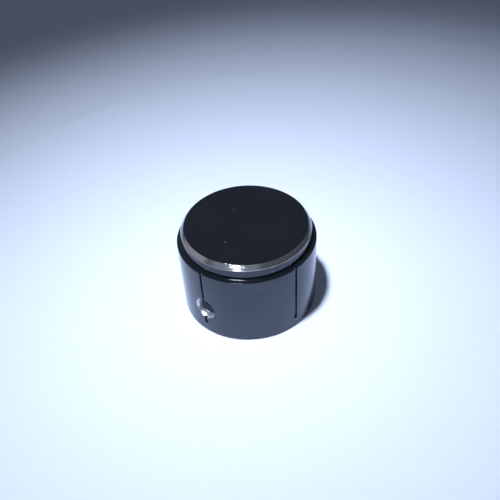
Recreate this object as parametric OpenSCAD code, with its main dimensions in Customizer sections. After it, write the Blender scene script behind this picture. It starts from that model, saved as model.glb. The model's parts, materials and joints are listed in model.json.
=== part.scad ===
/* [Knob] */
// Diameter of the side
knob_d = 25; // [20:0.5:40]
// Height from the underside to the top face
knob_h = 17; // [14:0.5:30]
// Bevel that breaks the edges of the underside
edge_break = 0.3; // [0.1:0.05:0.8]

/* [Cap] */
// Width of the flat shoulder round the cap
shoulder_w = 0.85; // [0.6:0.05:2]
// Bevel on the outer edge of the shoulder
shoulder_bevel = 0.05; // [0.02:0.01:0.3]
// Radius that the turning tool leaves in the corner under the cap
cap_root_r = 0.1; // [0.05:0.05:0.4]
// Height of the cap, from the shoulder to the top face
cap_h = 2.8; // [1.5:0.1:4]
// Width of the bright-cut rim round the top face
rim_w = 0.62; // [0.3:0.02:1.2]
// Height of the bright-cut rim
rim_h = 0.8; // [0.3:0.05:1.2]

/* [Grooves] */
// Width of each groove in the side
groove_w = 0.65; // [0.4:0.05:1.5]
// Depth of each groove
groove_depth = 0.25; // [0.2:0.05:0.6]
// Height of a groove's round foot above the underside
groove_foot = 2; // [1:0.1:6]
// Angle from the screw's groove round to the second groove
groove_step = 80; // [30:1:180]

/* [Shaft] */
// Diameter of the shaft that the knob fits
shaft_d = 6; // [3:0.05:8]
// Clearance round the shaft, on the radius
shaft_clear = 0.04; // [0.01:0.01:0.05]
// Bevel at the mouth of the bore
bore_bevel = 0.4; // [0.2:0.05:0.8]
// Metal left between the tip of the bore and the top face
crown_t = 3.2; // [2:0.1:5]
// Point angle of the drill that leaves the end of the bore and of the socket
drill_angle = 118; // [90:1:140]

/* [Underside] */
// Diameter of the recess that clears the nut of a panel control
recess_d = 15; // [12:0.5:17]
// Depth of the recess
recess_depth = 2; // [1:0.1:3]

/* [Screw] */
// Thread diameter of the clamping screw
screw_d = 4; // [3:0.5:5]
// Length of the screw
screw_len = 5; // [4:0.5:6]
// Clearance round the screw in its hole, on the radius
screw_clear = 0.05; // [0.02:0.01:0.1]
// Height of the screw's axis above the underside
screw_z = 5.7; // [5:0.1:9]
// Width of the countersink at the mouth of the screw's hole
sink_w = 0.15; // [0.1:0.05:0.6]
// Angle of the countersink, from side to side
sink_angle = 60; // [60:1:120]
// Distance from the bore's wall back to the screw's point when it is slack
screw_setback = 0.3; // [0.1:0.05:0.6]
// Bevel on the outer end of the screw
head_bevel = 0.35; // [0.1:0.05:0.5]
// Taper at the point of the screw
point_taper = 0.8; // [0.4:0.05:1]
// Width of the sharp ring left round the cup in the point
cup_ring = 0.15; // [0.05:0.05:0.3]
// Depth of the cup
cup_depth = 0.55; // [0.2:0.05:0.8]
// Size of the hexagon socket, across its flats
socket_af = 2; // [1.5:0.1:2.2]
// Depth of the socket
socket_depth = 2; // [1.5:0.1:2.2]

/* [Hidden] */
$fn = 128;

// Cutters run this far past the faces that they open
overcut = 1;
hex_sides = 6;

knob_r = knob_d / 2;
shoulder_z = knob_h - cap_h;
cap_r = knob_r - shoulder_w;
recess_r = recess_d / 2;
bore_r = shaft_d / 2 + shaft_clear;
bore_end_z = knob_h - crown_t - drill_tip(bore_r);

screw_r = screw_d / 2;
screw_hole_r = screw_r + screw_clear;
screw_start = bore_r + screw_setback;
point_r = screw_r - point_taper;
socket_r = socket_af / 2;
socket_floor = screw_len - socket_depth;

// Height of the cone that a drill leaves at the end of a hole
function drill_tip(r) = r / tan(drill_angle / 2);

// Moves a shape that stands on +Z onto the screw's axis, pointing out through the side
module on_screw_axis() {
    translate([0, 0, screw_z])
        rotate([90, 0, 0])
            children();
}

// The outside as it comes off the lathe
module turned_blank() {
    root = [cap_r + cap_root_r, shoulder_z + cap_root_r];
    rotate_extrude()
        difference() {
            polygon([
                [0, 0],
                [knob_r - edge_break, 0],
                [knob_r, edge_break],
                [knob_r, shoulder_z - shoulder_bevel],
                [knob_r - shoulder_bevel, shoulder_z],
                [root.x, shoulder_z],
                root,
                [cap_r, root.y],
                [cap_r, knob_h - rim_h],
                [cap_r - rim_w, knob_h],
                [0, knob_h]
            ]);
            translate(root)
                circle(r = cap_root_r);
        }
}

// Recess in the underside and the blind bore above it, with its drill point
module shaft_cut() {
    rotate_extrude()
        polygon([
            [0, -overcut],
            [recess_r + edge_break + overcut, -overcut],
            [recess_r, edge_break],
            [recess_r, recess_depth],
            [bore_r + bore_bevel, recess_depth],
            [bore_r, recess_depth + bore_bevel],
            [bore_r, bore_end_z],
            [0, bore_end_z + drill_tip(bore_r)]
        ]);
}

// Hole from the bore out through the side, with a countersunk mouth
module screw_cut() {
    slope = tan(sink_angle / 2);
    sink_h = sink_w / slope;
    on_screw_axis() {
        cylinder(r = screw_hole_r, h = knob_r + overcut);
        translate([0, 0, knob_r - sink_h])
            cylinder(r1 = screw_hole_r, r2 = screw_hole_r + sink_w + slope * overcut, h = sink_h + overcut);
    }
}

// One milled slot, with a round foot, that runs out through the shoulder
module groove_cut(turn) {
    foot_centre = groove_foot + groove_w / 2;
    rotate([0, 0, turn])
        translate([0, groove_depth - knob_r, 0])
            rotate([90, 0, 0])
                linear_extrude(height = groove_depth + overcut) {
                    translate([0, foot_centre])
                        circle(d = groove_w);
                    translate([-groove_w / 2, foot_centre])
                        square([groove_w, shoulder_z + overcut - foot_centre]);
                }
}

module knob_body() {
    color([0.06, 0.06, 0.07])
        difference() {
            turned_blank();
            shaft_cut();
            screw_cut();
            for (turn = [0, groove_step])
                groove_cut(turn);
        }
}

// Headless screw: cup point towards the bore, hexagon socket towards the side
module grub_screw() {
    color([0.2, 0.2, 0.22])
        on_screw_axis()
            translate([0, 0, screw_start])
                difference() {
                    rotate_extrude()
                        polygon([
                            [0, cup_depth],
                            [point_r - cup_ring, 0],
                            [point_r, 0],
                            [screw_r, point_taper],
                            [screw_r, screw_len - head_bevel],
                            [screw_r - head_bevel, screw_len],
                            [0, screw_len]
                        ]);
                    translate([0, 0, socket_floor])
                        cylinder(r = socket_r / cos(180 / hex_sides), h = socket_depth + overcut, $fn = hex_sides);
                    translate([0, 0, socket_floor - drill_tip(socket_r)])
                        cylinder(r1 = 0, r2 = socket_r, h = drill_tip(socket_r));
                }
}

knob_body();
grub_screw();
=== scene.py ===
import json
import math

import bmesh
import bpy
from mathutils import Matrix, Vector

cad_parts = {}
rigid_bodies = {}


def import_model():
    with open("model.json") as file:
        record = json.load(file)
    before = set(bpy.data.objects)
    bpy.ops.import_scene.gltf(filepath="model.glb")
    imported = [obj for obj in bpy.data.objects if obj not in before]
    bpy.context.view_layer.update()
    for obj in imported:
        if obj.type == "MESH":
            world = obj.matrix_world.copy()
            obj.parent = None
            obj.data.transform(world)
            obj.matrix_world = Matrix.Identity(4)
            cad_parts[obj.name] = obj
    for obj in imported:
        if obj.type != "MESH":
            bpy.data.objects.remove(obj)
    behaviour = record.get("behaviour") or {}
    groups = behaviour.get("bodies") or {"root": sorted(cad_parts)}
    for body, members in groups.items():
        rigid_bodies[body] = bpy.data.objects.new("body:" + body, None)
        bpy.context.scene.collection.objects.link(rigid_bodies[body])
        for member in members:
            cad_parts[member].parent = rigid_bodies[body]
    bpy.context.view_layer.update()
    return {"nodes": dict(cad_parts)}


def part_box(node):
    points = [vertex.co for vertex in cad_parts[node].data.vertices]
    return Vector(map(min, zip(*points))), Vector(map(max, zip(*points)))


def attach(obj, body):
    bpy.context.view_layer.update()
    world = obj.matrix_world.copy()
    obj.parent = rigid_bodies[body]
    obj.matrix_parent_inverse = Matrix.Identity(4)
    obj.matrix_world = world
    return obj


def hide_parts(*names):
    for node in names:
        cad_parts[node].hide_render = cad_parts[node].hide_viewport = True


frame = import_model()
print("frame loaded:", sorted(frame["nodes"]))

mm = 0.001
bodyLow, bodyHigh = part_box("knob_body")
screwLow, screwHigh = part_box("grub_screw")
knobRadius = (bodyHigh.x - bodyLow.x) / 2
knobHeight = bodyHigh.z - bodyLow.z
screwAxisHeight = (screwLow.z + screwHigh.z) / 2

shot = {
    "azimuth": 40.7,        # degrees round from the screw's groove
    "elevation": 41.75,
    "roll": 3.6,            # the knob leans this far to the left in the picture
    "distance": 116.0 * mm,
    "aimHeight": 8.0 * mm,
    "aimRight": 0.33 * mm,  # the knob stands left of the picture's middle
    "aimUp": 1.84 * mm,     # and below it
    "lens": 45.0,
    "sensor": 36.0,
    "nearest": 1 * mm,
    "farthest": 20.0,
}


def fromCamera(turn, elevation):
    # unit vector towards a place given by its turn from the camera (left is minus) and its height
    a = math.radians(shot["azimuth"] + turn)
    e = math.radians(elevation)
    return Vector((math.sin(a) * math.cos(e), -math.cos(a) * math.cos(e), math.sin(e)))


def placeCamera():
    back = fromCamera(0, shot["elevation"])
    level = Vector((0, 0, 1)).cross(back).normalized()
    upright = back.cross(level)
    lean = math.radians(shot["roll"])
    right = level * math.cos(lean) - upright * math.sin(lean)
    up = level * math.sin(lean) + upright * math.cos(lean)
    aim = Vector((0, 0, shot["aimHeight"]))
    aim += right * shot["aimRight"] + up * shot["aimUp"]
    data = bpy.data.cameras.new("shotCamera")
    data.lens = shot["lens"]
    data.sensor_width = shot["sensor"]
    data.clip_start = shot["nearest"]
    data.clip_end = shot["farthest"]
    camera = bpy.data.objects.new("shotCamera", data)
    bpy.context.scene.collection.objects.link(camera)
    camera.matrix_world = Matrix((
        (right.x, up.x, back.x, aim.x + back.x * shot["distance"]),
        (right.y, up.y, back.y, aim.y + back.y * shot["distance"]),
        (right.z, up.z, back.z, aim.z + back.z * shot["distance"]),
        (0, 0, 0, 1),
    ))
    bpy.context.scene.camera = camera


placeCamera()
print("camera placed")


# modelling helpers, used the way the tools are used by hand

mergeGap = 0.001 * mm       # vertices this close become one
ringSlack = 0.002 * mm      # an edge this close to a ring lies on it
near = 0.01 * mm            # other places this close count as the same
overcut = 1 * mm            # cutters run this far past the faces that they open
alongAxis = 0.99            # a normal with this share along an axis counts as lying on it
roundProfile = 0.5          # gives a bevel the section of an arc


def selectOnly(obj):
    bpy.ops.object.select_all(action="DESELECT")
    obj.select_set(True)
    bpy.context.view_layer.objects.active = obj


def beginEdit(obj):
    selectOnly(obj)
    bpy.ops.object.mode_set(mode="EDIT")


def endEdit():
    bpy.ops.object.mode_set(mode="OBJECT")
    return bpy.context.active_object


def pickEdges(obj, wanted):
    # in edit mode, selects only the edges that pass a test
    bpy.ops.mesh.select_mode(type="EDGE")
    bpy.ops.mesh.select_all(action="DESELECT")
    mesh = bmesh.from_edit_mesh(obj.data)
    for edge in mesh.edges:
        if wanted(edge):
            edge.select_set(True)
    bmesh.update_edit_mesh(obj.data)


def faceOutwards():
    bpy.ops.mesh.select_all(action="SELECT")
    bpy.ops.mesh.normals_make_consistent(inside=False)


def cleanMesh():
    bpy.ops.mesh.select_all(action="SELECT")
    bpy.ops.mesh.remove_doubles(threshold=mergeGap)
    faceOutwards()


def startLine(name, point):
    # a lone vertex at the first point of an outline, left in edit mode
    bpy.ops.object.select_all(action="DESELECT")
    bpy.ops.mesh.primitive_plane_add(size=mm, location=(0, 0, 0))
    obj = bpy.context.active_object
    obj.name = name
    obj.data.name = name
    bpy.ops.object.mode_set(mode="EDIT")
    bpy.ops.mesh.select_mode(type="VERT")
    bpy.ops.mesh.select_all(action="SELECT")
    bpy.ops.mesh.merge(type="CENTER")
    bpy.ops.transform.translate(value=(point[0], 0, point[1]))
    return obj


def drawLine(points):
    # extrudes the selected vertex from point to point in the XZ plane
    for here, there in zip(points, points[1:]):
        step = (there[0] - here[0], 0, there[1] - here[1])
        bpy.ops.mesh.extrude_vertices_move(TRANSFORM_OT_translate={"value": step})


def turnOnLathe(name, outline, steps):
    # an outline from axis to axis, spun into a closed solid
    startLine(name, outline[0])
    drawLine(outline)
    bpy.ops.mesh.select_all(action="SELECT")
    bpy.ops.mesh.spin(steps=steps, angle=2 * math.pi, center=(0, 0, 0), axis=(0, 0, 1))
    cleanMesh()
    return endEdit()


def roundPicked(width, segments):
    bpy.ops.mesh.bevel(offset=width, segments=segments, profile=roundProfile, affect="EDGES")


def roundRings(obj, rings, width, segments):
    # bevels the turned edges that run through the given (radius, height) points
    def liesOnRing(edge):
        for radius, height in rings:
            offs = [(math.hypot(v.co.x, v.co.y) - radius, v.co.z - height) for v in edge.verts]
            if all(abs(out) < ringSlack and abs(up) < ringSlack for out, up in offs):
                return True
        return False

    beginEdit(obj)
    pickEdges(obj, liesOnRing)
    roundPicked(width, segments)
    endEdit()


def boolean(obj, other, operation):
    selectOnly(obj)
    cut = obj.modifiers.new("cut", "BOOLEAN")
    cut.operation = operation
    cut.solver = "EXACT"
    cut.object = other
    bpy.ops.object.modifier_apply(modifier=cut.name)
    bpy.data.objects.remove(other)


def layOnScrewAxis(obj):
    # turns a shape that stands on Z so that it points out through the side
    selectOnly(obj)
    obj.rotation_euler = (math.pi / 2, 0, 0)
    obj.location = (0, 0, screwAxisHeight)
    bpy.ops.object.transform_apply(location=True, rotation=True, scale=True)


def finishSurface(obj, angle):
    # smooth shading that breaks at edges sharper than the angle
    beginEdit(obj)
    cleanMesh()
    endEdit()
    bpy.ops.object.shade_smooth_by_angle(angle=math.radians(angle))
    even = obj.modifiers.new("even", "WEIGHTED_NORMAL")
    even.keep_sharp = True
    bpy.ops.object.modifier_apply(modifier=even.name)


# finishes

toneSpan = (0.35, 0.65)     # share of a pattern over which the tone changes
roughSpan = (0.3, 0.7)      # and over which the roughness does


def newMaterial(name):
    material = bpy.data.materials.new(name)
    material.use_nodes = True
    nodes = material.node_tree.nodes
    return material, nodes, material.node_tree.links, nodes["Principled BSDF"]


def addNode(nodes, kind, **values):
    node = nodes.new(kind)
    for name, value in values.items():
        setattr(node, name, value)
    return node


def objectPlace(nodes):
    return addNode(nodes, "ShaderNodeTexCoord").outputs["Object"]


def noise(nodes, links, place, size, detail):
    node = addNode(nodes, "ShaderNodeTexNoise")
    node.inputs["Scale"].default_value = 1 / size
    node.inputs["Detail"].default_value = detail
    links.new(place, node.inputs["Vector"])
    return node.outputs["Fac"]


def turningLines(nodes, links, place, look):
    # fine tool marks that run round the axis on every turned face
    parts = addNode(nodes, "ShaderNodeSeparateXYZ")
    links.new(place, parts.inputs[0])
    flat = addNode(nodes, "ShaderNodeCombineXYZ")
    links.new(parts.outputs["X"], flat.inputs["X"])
    links.new(parts.outputs["Y"], flat.inputs["Y"])
    radius = addNode(nodes, "ShaderNodeVectorMath", operation="LENGTH")
    links.new(flat.outputs[0], radius.inputs[0])
    along = addNode(nodes, "ShaderNodeMath", operation="ADD")
    links.new(radius.outputs["Value"], along.inputs[0])
    links.new(parts.outputs["Z"], along.inputs[1])
    lines = addNode(nodes, "ShaderNodeTexNoise", noise_dimensions="1D")
    lines.inputs["Scale"].default_value = 1 / look["markSpacing"]
    lines.inputs["Detail"].default_value = look["markDetail"]
    links.new(along.outputs[0], lines.inputs["W"])
    return lines.outputs["Fac"]


def blendTones(nodes, links, source, look, span=toneSpan):
    ramp = addNode(nodes, "ShaderNodeValToRGB")
    deep, pale = ramp.color_ramp.elements
    deep.position, pale.position = span
    deep.color = look["deepTone"]
    pale.color = look["paleTone"]
    links.new(source, ramp.inputs["Fac"])
    return ramp.outputs["Color"]


def mapRange(nodes, links, source, fromSpan, toSpan):
    node = addNode(nodes, "ShaderNodeMapRange")
    for socket, value in zip(("From Min", "From Max", "To Min", "To Max"), (*fromSpan, *toSpan)):
        node.inputs[socket].default_value = value
    links.new(source, node.inputs["Value"])
    return node.outputs["Result"]


def blendRoughness(nodes, links, source, look):
    return mapRange(nodes, links, source, roughSpan, (look["smooth"], look["rough"]))


def raiseBump(nodes, links, height, depth, below=None):
    bump = addNode(nodes, "ShaderNodeBump")
    bump.inputs["Distance"].default_value = depth
    links.new(height, bump.inputs["Height"])
    if below:
        links.new(below, bump.inputs["Normal"])
    return bump.outputs["Normal"]


anodised = {
    "deepTone": (0.056, 0.062, 0.074, 1),
    "paleTone": (0.065, 0.072, 0.085, 1),
    "metallic": 0.87,
    "glance": (0.88, 0.91, 0.97, 1),    # tint of glancing reflections
    "smooth": 0.09,
    "rough": 0.14,
    "cloudSize": 6.0 * mm,
    "cloudDetail": 4.0,
    "markSpacing": 0.09 * mm,
    "markDetail": 2.0,
    "markDepth": 0.0005 * mm,
    "dustTone": (0.55, 0.56, 0.58, 1),
    "dustRough": 0.8,
    "dustSize": 0.07 * mm,
    "dustGap": 2.4 * mm,
    "dustShift": (-5.9 * mm, 3.616 * mm, 0),    # brings a speck to the front left of the top
}


def makeAnodised():
    material, nodes, links, shader = newMaterial("blackAnodised")
    place = objectPlace(nodes)
    cloud = noise(nodes, links, place, anodised["cloudSize"], anodised["cloudDetail"])
    shifted = addNode(nodes, "ShaderNodeVectorMath", operation="ADD")
    shifted.inputs[1].default_value = anodised["dustShift"]
    links.new(place, shifted.inputs[0])
    specks = addNode(nodes, "ShaderNodeTexVoronoi")
    specks.inputs["Scale"].default_value = 1 / anodised["dustGap"]
    links.new(shifted.outputs["Vector"], specks.inputs["Vector"])
    isDust = addNode(nodes, "ShaderNodeMath", operation="LESS_THAN")
    isDust.inputs[1].default_value = anodised["dustSize"] / anodised["dustGap"]
    links.new(specks.outputs["Distance"], isDust.inputs[0])
    tone = addNode(nodes, "ShaderNodeMixRGB")
    links.new(isDust.outputs[0], tone.inputs["Fac"])
    links.new(blendTones(nodes, links, cloud, anodised), tone.inputs["Color1"])
    tone.inputs["Color2"].default_value = anodised["dustTone"]
    links.new(tone.outputs["Color"], shader.inputs["Base Color"])
    dusty = addNode(nodes, "ShaderNodeMath", operation="MULTIPLY")
    dusty.inputs[1].default_value = anodised["dustRough"]
    links.new(isDust.outputs[0], dusty.inputs[0])
    rough = addNode(nodes, "ShaderNodeMath", operation="MAXIMUM")
    links.new(blendRoughness(nodes, links, cloud, anodised), rough.inputs[0])
    links.new(dusty.outputs[0], rough.inputs[1])
    links.new(rough.outputs[0], shader.inputs["Roughness"])
    shader.inputs["Metallic"].default_value = anodised["metallic"]
    shader.inputs["Specular Tint"].default_value = anodised["glance"]
    lines = turningLines(nodes, links, place, anodised)
    links.new(raiseBump(nodes, links, lines, anodised["markDepth"]), shader.inputs["Normal"])
    return material


brightCut = {
    "deepTone": (0.72, 0.72, 0.76, 1),
    "paleTone": (0.84, 0.83, 0.86, 1),
    "metallic": 1.0,
    "smooth": 0.10,
    "rough": 0.18,
    "markSpacing": 0.035 * mm,      # the rim's slope draws this out to about 0.2 mm
    "markDetail": 2.0,
    "markDepth": 0.03 * mm,
    "chatterSize": 1.1 * mm,
    "chatterDetail": 3.0,
    "chatterDepth": 0.02 * mm,
}


def makeBrightCut():
    material, nodes, links, shader = newMaterial("brightCutAluminium")
    place = objectPlace(nodes)
    chatter = noise(nodes, links, place, brightCut["chatterSize"], brightCut["chatterDetail"])
    lines = turningLines(nodes, links, place, brightCut)
    links.new(blendTones(nodes, links, lines, brightCut), shader.inputs["Base Color"])
    links.new(blendRoughness(nodes, links, chatter, brightCut), shader.inputs["Roughness"])
    shader.inputs["Metallic"].default_value = brightCut["metallic"]
    marked = raiseBump(nodes, links, lines, brightCut["markDepth"])
    links.new(raiseBump(nodes, links, chatter, brightCut["chatterDepth"], marked), shader.inputs["Normal"])
    return material


countersunk = {
    "deepTone": (0.62, 0.62, 0.66, 1),
    "paleTone": (0.78, 0.78, 0.82, 1),
    "metallic": 1.0,
    "smooth": 0.30,
    "rough": 0.45,
    "grainSize": 0.35 * mm,
    "grainDetail": 4.0,
    "grainDepth": 0.05 * mm,
}

tapped = {
    # anodised with the rest, and dull because the tap leaves it torn
    "deepTone": (0.29, 0.31, 0.42, 1),
    "paleTone": (0.45, 0.47, 0.60, 1),
    "metallic": 1.0,
    "smooth": 0.60,
    "rough": 0.75,
    "grainSize": 0.35 * mm,
    "grainDetail": 4.0,
    "grainDepth": 0.05 * mm,
}

oxide = {
    "deepTone": (0.020, 0.020, 0.022, 1),
    "paleTone": (0.055, 0.053, 0.052, 1),
    "metallic": 1.0,
    "smooth": 0.30,
    "rough": 0.45,
    "grainSize": 0.5 * mm,
    "grainDetail": 4.0,
    "grainDepth": 0.004 * mm,
}


def makeGrained(name, look):
    material, nodes, links, shader = newMaterial(name)
    grain = noise(nodes, links, objectPlace(nodes), look["grainSize"], look["grainDetail"])
    links.new(blendTones(nodes, links, grain, look), shader.inputs["Base Color"])
    links.new(blendRoughness(nodes, links, grain, look), shader.inputs["Roughness"])
    shader.inputs["Metallic"].default_value = look["metallic"]
    links.new(raiseBump(nodes, links, grain, look["grainDepth"]), shader.inputs["Normal"])
    return material


blackAnodised = makeAnodised()
brightCutMetal = makeBrightCut()
bareMetal = makeGrained("bareAluminium", countersunk)
tappedMetal = makeGrained("tappedAluminium", tapped)
blackOxide = makeGrained("blackOxideSteel", oxide)
bodyFinishes = (blackAnodised, brightCutMetal, bareMetal, tappedMetal)
anodisedFaces, brightFaces, bareFaces, tappedFaces = range(len(bodyFinishes))
print("finishes ready")

thread = {
    "pitch": 0.7 * mm,
    "crest": 0.09 * mm,
    "root": 0.17 * mm,
    "depth": 0.38 * mm,
    "start": 2.55 * mm,     # distance of the first turn from the knob's axis
    "steps": 96,
    "holeTurns": 16,
    "screwTurns": 10,
}


def threadedRod(name, major, turns):
    # one pitch of thread drawn as a line, wound up by a Screw modifier, and closed at both ends
    pitch, crest, root = thread["pitch"], thread["crest"], thread["root"]
    flank = (pitch - crest - root) / 2
    minor = major - thread["depth"]
    heights = [0, root, root + flank, root + flank + crest, pitch]
    radii = [minor, minor, major, major, minor]
    points = [(r, thread["start"] + h) for r, h in zip(radii, heights)]
    rod = startLine(name, points[0])
    drawLine(points)
    endEdit()
    winding = rod.modifiers.new("winding", "SCREW")
    winding.axis = "Z"
    winding.angle = 2 * math.pi
    winding.screw_offset = pitch
    winding.iterations = turns
    winding.steps = thread["steps"]
    winding.render_steps = thread["steps"]
    bpy.ops.object.modifier_apply(modifier=winding.name)
    middle = thread["start"] + pitch * (turns + 1) / 2

    def isInUpperHalf(edge):
        return (edge.verts[0].co.z + edge.verts[1].co.z) / 2 > middle

    beginEdit(rod)
    cleanMesh()
    for isTop in (False, True):
        pickEdges(rod, lambda edge: edge.is_boundary and isInUpperHalf(edge) == isTop)
        bpy.ops.mesh.extrude_edges_move(TRANSFORM_OT_translate={"value": (0, 0, 0)})
        bpy.ops.mesh.merge(type="CENTER")
    faceOutwards()
    return endEdit()


knob = {
    "shoulderWidth": 0.85 * mm,
    "shoulderEdge": 0.05 * mm,
    "capRoot": 0.1 * mm,        # nose radius of the tool that turned the shoulder
    "capHeight": 2.8 * mm,
    "rimWidth": 0.62 * mm,
    "rimHeight": 0.8 * mm,
    "edgeBreak": 0.3 * mm,
    "recessRadius": 7.5 * mm,
    "recessDepth": 2.0 * mm,
    "boreRadius": 3.04 * mm,
    "boreBevel": 0.4 * mm,
    "crown": 3.2 * mm,
    "drillAngle": 118,
    "grooveWidth": 0.65 * mm,
    "grooveDepth": 0.25 * mm,
    "grooveFoot": 2.0 * mm,
    "grooveStep": 80,
    "grooveFlare": 0.04 * mm,   # broken edge along each groove
    "flareReach": 0.4 * mm,     # how far the flared part of its cutter stands out
    "footShare": 0.499,         # a whole half width would close the foot's end to a line
    "holeRadius": 2.05 * mm,
    "sinkWidth": 0.15 * mm,
    "sinkAngle": 60,
    "sinkFloor": 1.60 * mm,     # radius where the countersink ends, inside the crests of the thread
    "topRound": 0.02 * mm,      # the rim's upper edge
    "rimRound": 0.03 * mm,      # the rim's lower edge, rolled over by the cut
    "softEdge": 0.05 * mm,      # what polishing leaves of a sharp corner
    "smoothAngle": 32,
    "steps": 360,
    "sinkSteps": 128,
    "footSteps": 10,
    "rootSteps": 6,
    "rimSteps": 4,
    "edgeSteps": 3,
    "topSteps": 2,
}
shoulderHeight = knobHeight - knob["capHeight"]


def grooveCutter(turn):
    width, foot = knob["grooveWidth"], knob["grooveFoot"]
    top = shoulderHeight + overcut
    tall = top - foot
    inner = knobRadius - knob["grooveDepth"]
    outer = knobRadius - knob["grooveFlare"]
    bpy.ops.object.select_all(action="DESELECT")
    bpy.ops.mesh.primitive_cube_add(size=1, location=(0, -(inner + outer) / 2, (foot + top) / 2))
    cutter = bpy.context.active_object
    cutter.scale = (width, outer - inner, tall)
    bpy.ops.object.transform_apply(location=True, rotation=True, scale=True)

    def pointsInAtFoot(edge):
        # the two edges at the foot that point into the knob
        one, two = edge.verts
        return max(one.co.z, two.co.z) < foot + near and abs(one.co.x - two.co.x) < near

    beginEdit(cutter)
    pickEdges(cutter, pointsInAtFoot)
    roundPicked(width * knob["footShare"], knob["footSteps"])
    bpy.ops.mesh.select_mode(type="FACE")
    bpy.ops.mesh.select_all(action="DESELECT")
    mesh = bmesh.from_edit_mesh(cutter.data)
    for face in mesh.faces:
        face.select_set(face.normal.y < -alongAxis)
    bmesh.update_edit_mesh(cutter.data)
    flare = knob["flareReach"]
    bpy.ops.mesh.extrude_region_move(TRANSFORM_OT_translate={"value": (0, -flare, 0)})
    bpy.ops.transform.resize(value=((width + 2 * flare) / width, 1, (tall + 2 * flare) / tall))
    faceOutwards()
    endEdit()
    cutter.rotation_euler = (0, 0, math.radians(turn))
    bpy.ops.object.transform_apply(location=True, rotation=True, scale=True)
    return cutter


def sinkCutter():
    slope = math.tan(math.radians(knob["sinkAngle"] / 2))
    floor = knob["sinkFloor"]
    mouthRadius = knob["holeRadius"] + knob["sinkWidth"]
    start = knobRadius - (mouthRadius - floor) / slope
    end = knobRadius + overcut
    return turnOnLathe("mouthCutter", [
        (0, start),
        (floor, start),
        (mouthRadius + slope * (end - knobRadius), end),
        (0, end),
    ], knob["sinkSteps"])


def makeKnob():
    capRadius = knobRadius - knob["shoulderWidth"]
    topRadius = capRadius - knob["rimWidth"]
    rimFoot = knobHeight - knob["rimHeight"]
    bore, bevel = knob["boreRadius"], knob["boreBevel"]
    tip = knobHeight - knob["crown"]
    boreEnd = tip - bore / math.tan(math.radians(knob["drillAngle"] / 2))
    recess, deep, edge = knob["recessRadius"], knob["recessDepth"], knob["edgeBreak"]
    rimTop = (topRadius, knobHeight)
    rimBottom = (capRadius, rimFoot)
    capFoot = (capRadius, shoulderHeight)
    shoulderRing = (knobRadius, shoulderHeight)
    footRings = [(knobRadius, edge), (knobRadius - edge, 0), (recess + edge, 0), (recess, edge)]
    boreRings = [(bore + bevel, deep), (bore, deep + bevel)]
    outline = [(0, knobHeight), rimTop, rimBottom, capFoot, shoulderRing]
    outline += footRings + [(recess, deep)] + boreRings + [(bore, boreEnd), (0, tip)]
    body = turnOnLathe("knobBody", outline, knob["steps"])
    roundRings(body, [capFoot], knob["capRoot"], knob["rootSteps"])
    roundRings(body, [shoulderRing], knob["shoulderEdge"], knob["edgeSteps"])
    roundRings(body, footRings + boreRings, knob["softEdge"], knob["edgeSteps"])
    roundRings(body, [rimTop], knob["topRound"], knob["topSteps"])
    roundRings(body, [rimBottom], knob["rimRound"], knob["rimSteps"])
    for finish in bodyFinishes:
        body.data.materials.append(finish)
    for face in body.data.polygons:
        reach = math.hypot(face.center.x, face.center.y)
        onRim = rimFoot - knob["rimRound"] < face.center.z and topRadius - near < reach
        face.material_index = brightFaces if onRim else anodisedFaces
    for turn in (0, knob["grooveStep"]):
        boolean(body, grooveCutter(turn), "DIFFERENCE")
    mouth = sinkCutter()
    tap = threadedRod("tapCutter", knob["holeRadius"], thread["holeTurns"])
    for cutter, faces in ((tap, tappedFaces), (mouth, bareFaces)):
        layOnScrewAxis(cutter)
        for finish in bodyFinishes:
            cutter.data.materials.append(finish)
        for face in cutter.data.polygons:
            face.material_index = faces
        boolean(body, cutter, "DIFFERENCE")
    finishSurface(body, knob["smoothAngle"])
    return body


knobBody = makeKnob()
print("knob body:", len(knobBody.data.polygons), "faces")

grub = {
    "radius": 2.0 * mm,
    "headBevel": 0.35 * mm,
    "pointTaper": 0.8 * mm,
    "cupRing": 0.15 * mm,
    "cupDepth": 0.55 * mm,
    "socketFlats": 2.0 * mm,
    "socketDepth": 2.0 * mm,
    "socketSides": 6,
    "drillAngle": 118,
    "drillInset": 0.03 * mm,    # the drilled cone stays this far inside the flats
    "drillOverlap": 0.1 * mm,   # its cutter runs this far up into the socket
    "crestRoom": 0.02 * mm,     # the envelope clears the thread's crests by this much
    "smoothAngle": 30,
    "steps": 96,
    "drillSteps": 48,
}


def socketCutter(floor):
    corner = grub["socketFlats"] / 2 / math.cos(math.pi / grub["socketSides"])
    depth = grub["socketDepth"] + overcut
    bpy.ops.object.select_all(action="DESELECT")
    bpy.ops.mesh.primitive_cylinder_add(vertices=grub["socketSides"], radius=corner, depth=depth,
                                        location=(0, 0, floor + depth / 2))
    cutter = bpy.context.active_object
    bpy.ops.object.transform_apply(location=True, rotation=True, scale=True)
    return cutter


def drillCutter(floor):
    radius = grub["socketFlats"] / 2 - grub["drillInset"]
    cone = radius / math.tan(math.radians(grub["drillAngle"] / 2))
    top = floor + grub["drillOverlap"]
    return turnOnLathe("drillCutter", [
        (0, floor - cone),
        (radius, floor),
        (radius, top),
        (0, top),
    ], grub["drillSteps"])


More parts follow.
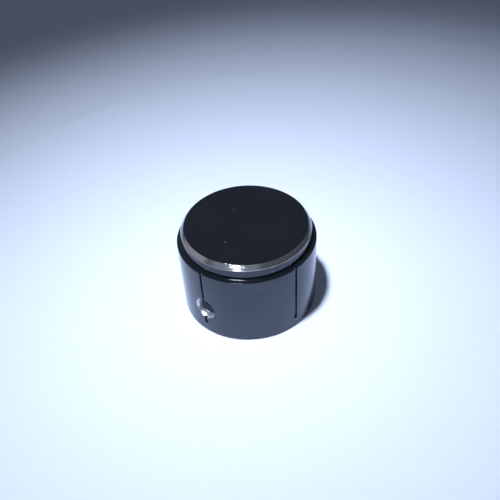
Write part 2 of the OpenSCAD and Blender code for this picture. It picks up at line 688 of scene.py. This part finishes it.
def makeGrubScrew():
    pointAt = -screwHigh.y
    headAt = -screwLow.y
    radius, taper, bevel, clear = grub["radius"], grub["pointTaper"], grub["headBevel"], grub["crestRoom"]
    pointRadius = radius - taper
    rod = threadedRod("grubScrew", radius, thread["screwTurns"])
    envelope = turnOnLathe("screwEnvelope", [
        (0, pointAt + grub["cupDepth"]),
        (pointRadius - grub["cupRing"], pointAt),
        (pointRadius, pointAt),
        (radius + clear, pointAt + taper + clear),
        (radius + clear, headAt - bevel - clear),
        (radius - bevel, headAt),
        (0, headAt),
    ], grub["steps"])
    boolean(rod, envelope, "INTERSECT")
    socketFloor = headAt - grub["socketDepth"]
    boolean(rod, socketCutter(socketFloor), "DIFFERENCE")
    boolean(rod, drillCutter(socketFloor), "DIFFERENCE")
    layOnScrewAxis(rod)
    rod.data.materials.append(blackOxide)
    finishSurface(rod, grub["smoothAngle"])
    return rod


grubScrew = makeGrubScrew()
print("grub screw:", len(grubScrew.data.polygons), "faces")

for piece, node, slot in ((knobBody, "knob_body", "anodised_body"), (grubScrew, "grub_screw", "screw_steel")):
    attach(piece, "root")
    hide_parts(node)

floorLook = {
    "size": 3.0,
    "deepTone": (0.83, 0.85, 0.87, 1),
    "paleTone": (0.86, 0.88, 0.90, 1),
    "toneSpan": (0, 1),
    "grainSize": 1.2 * mm,
    "grainDetail": 3.0,
    "rough": 0.9,
    "gloss": 0.1,
}


def makeFloor():
    bpy.ops.object.select_all(action="DESELECT")
    bpy.ops.mesh.primitive_plane_add(size=floorLook["size"], location=(0, 0, 0))
    floor = bpy.context.active_object
    floor.name = "floor"
    material, nodes, links, shader = newMaterial("paleFloor")
    grain = noise(nodes, links, objectPlace(nodes), floorLook["grainSize"], floorLook["grainDetail"])
    links.new(blendTones(nodes, links, grain, floorLook, floorLook["toneSpan"]), shader.inputs["Base Color"])
    shader.inputs["Roughness"].default_value = floorLook["rough"]
    shader.inputs["Specular IOR Level"].default_value = floorLook["gloss"]
    floor.data.materials.append(material)


makeFloor()

lamps = {
    # turn is degrees round from the camera, left is minus
    # some lamps only light the floor, and some only show in metal
    "overhead": {
        "turn": -48, "height": 76, "distance": 0.36, "width": 0.035, "spread": 40,
        "power": 0.107, "colour": (0.66, 0.76, 1.0), "onFloor": True, "inMetal": False,
    },
    "overheadGlint": {
        # the overhead lamp as the metal shows it, wider and whiter
        "turn": -48, "height": 76, "distance": 0.36, "width": 0.07, "spread": 40,
        "power": 0.107, "colour": (0.86, 0.91, 1.0), "onFloor": False, "inMetal": True,
    },
    "frontLeft": {
        "turn": -20, "height": 36, "distance": 0.40, "width": 0.07, "spread": 180,
        "power": 0.12, "colour": (0.92, 0.97, 1.0), "onFloor": False, "inMetal": True,
    },
    "frontPanel": {
        "turn": -22, "height": 30, "distance": 0.50, "width": 0.72, "spread": 180,
        "power": 0.20, "colour": (0.65, 0.85, 1.0), "onFloor": False, "inMetal": True,
    },
    "leftPanel": {
        "turn": -98, "height": 18, "distance": 0.60, "width": 0.60, "spread": 180,
        "power": 0.19, "colour": (1.0, 0.95, 1.0), "onFloor": False, "inMetal": True,
    },
    "skyFill": {
        "turn": 100, "height": 50, "distance": 0.60, "width": 0.60, "spread": 180,
        "power": 0.20, "colour": (0.15, 0.32, 1.0), "onFloor": True, "inMetal": False,
    },
}


def placeLamps():
    centre = Vector((0, 0, knobHeight / 2))
    for name, lamp in lamps.items():
        data = bpy.data.lights.new(name, "AREA")
        data.shape = "DISK"
        data.size = lamp["width"]
        data.spread = math.radians(lamp["spread"])
        data.energy = lamp["power"]
        data.color = lamp["colour"]
        light = bpy.data.objects.new(name, data)
        light.visible_diffuse = lamp["onFloor"]
        light.visible_glossy = lamp["inMetal"]
        bpy.context.scene.collection.objects.link(light)
        towards = fromCamera(lamp["turn"], lamp["height"])
        light.location = centre + towards * lamp["distance"]
        light.rotation_mode = "QUATERNION"
        light.rotation_quaternion = towards.to_track_quat("Z", "Y")


room = {
    "tone": (0.74, 0.82, 1.0, 1),
    "strength": 0.10,
    "lowStrength": 0.05,    # the room is dimmer near the horizon
    "lowBelow": 8,          # degrees of height where it is dimmest
    "fullAbove": 20,        # and where it is at full strength
}


def lightRoom():
    world = bpy.data.worlds.new("studio")
    world.use_nodes = True
    nodes, links = world.node_tree.nodes, world.node_tree.links
    background = nodes["Background"]
    background.inputs["Color"].default_value = room["tone"]
    height = addNode(nodes, "ShaderNodeSeparateXYZ")
    links.new(addNode(nodes, "ShaderNodeTexCoord").outputs["Generated"], height.inputs[0])
    rise = [math.sin(math.radians(room[limit])) for limit in ("lowBelow", "fullAbove")]
    strength = mapRange(nodes, links, height.outputs["Z"], rise, (room["lowStrength"], room["strength"]))
    links.new(strength, background.inputs["Strength"])
    bpy.context.scene.world = world
    bpy.context.scene.view_settings.view_transform = "Standard"


placeLamps()
lightRoom()
print("floor and lamps ready")
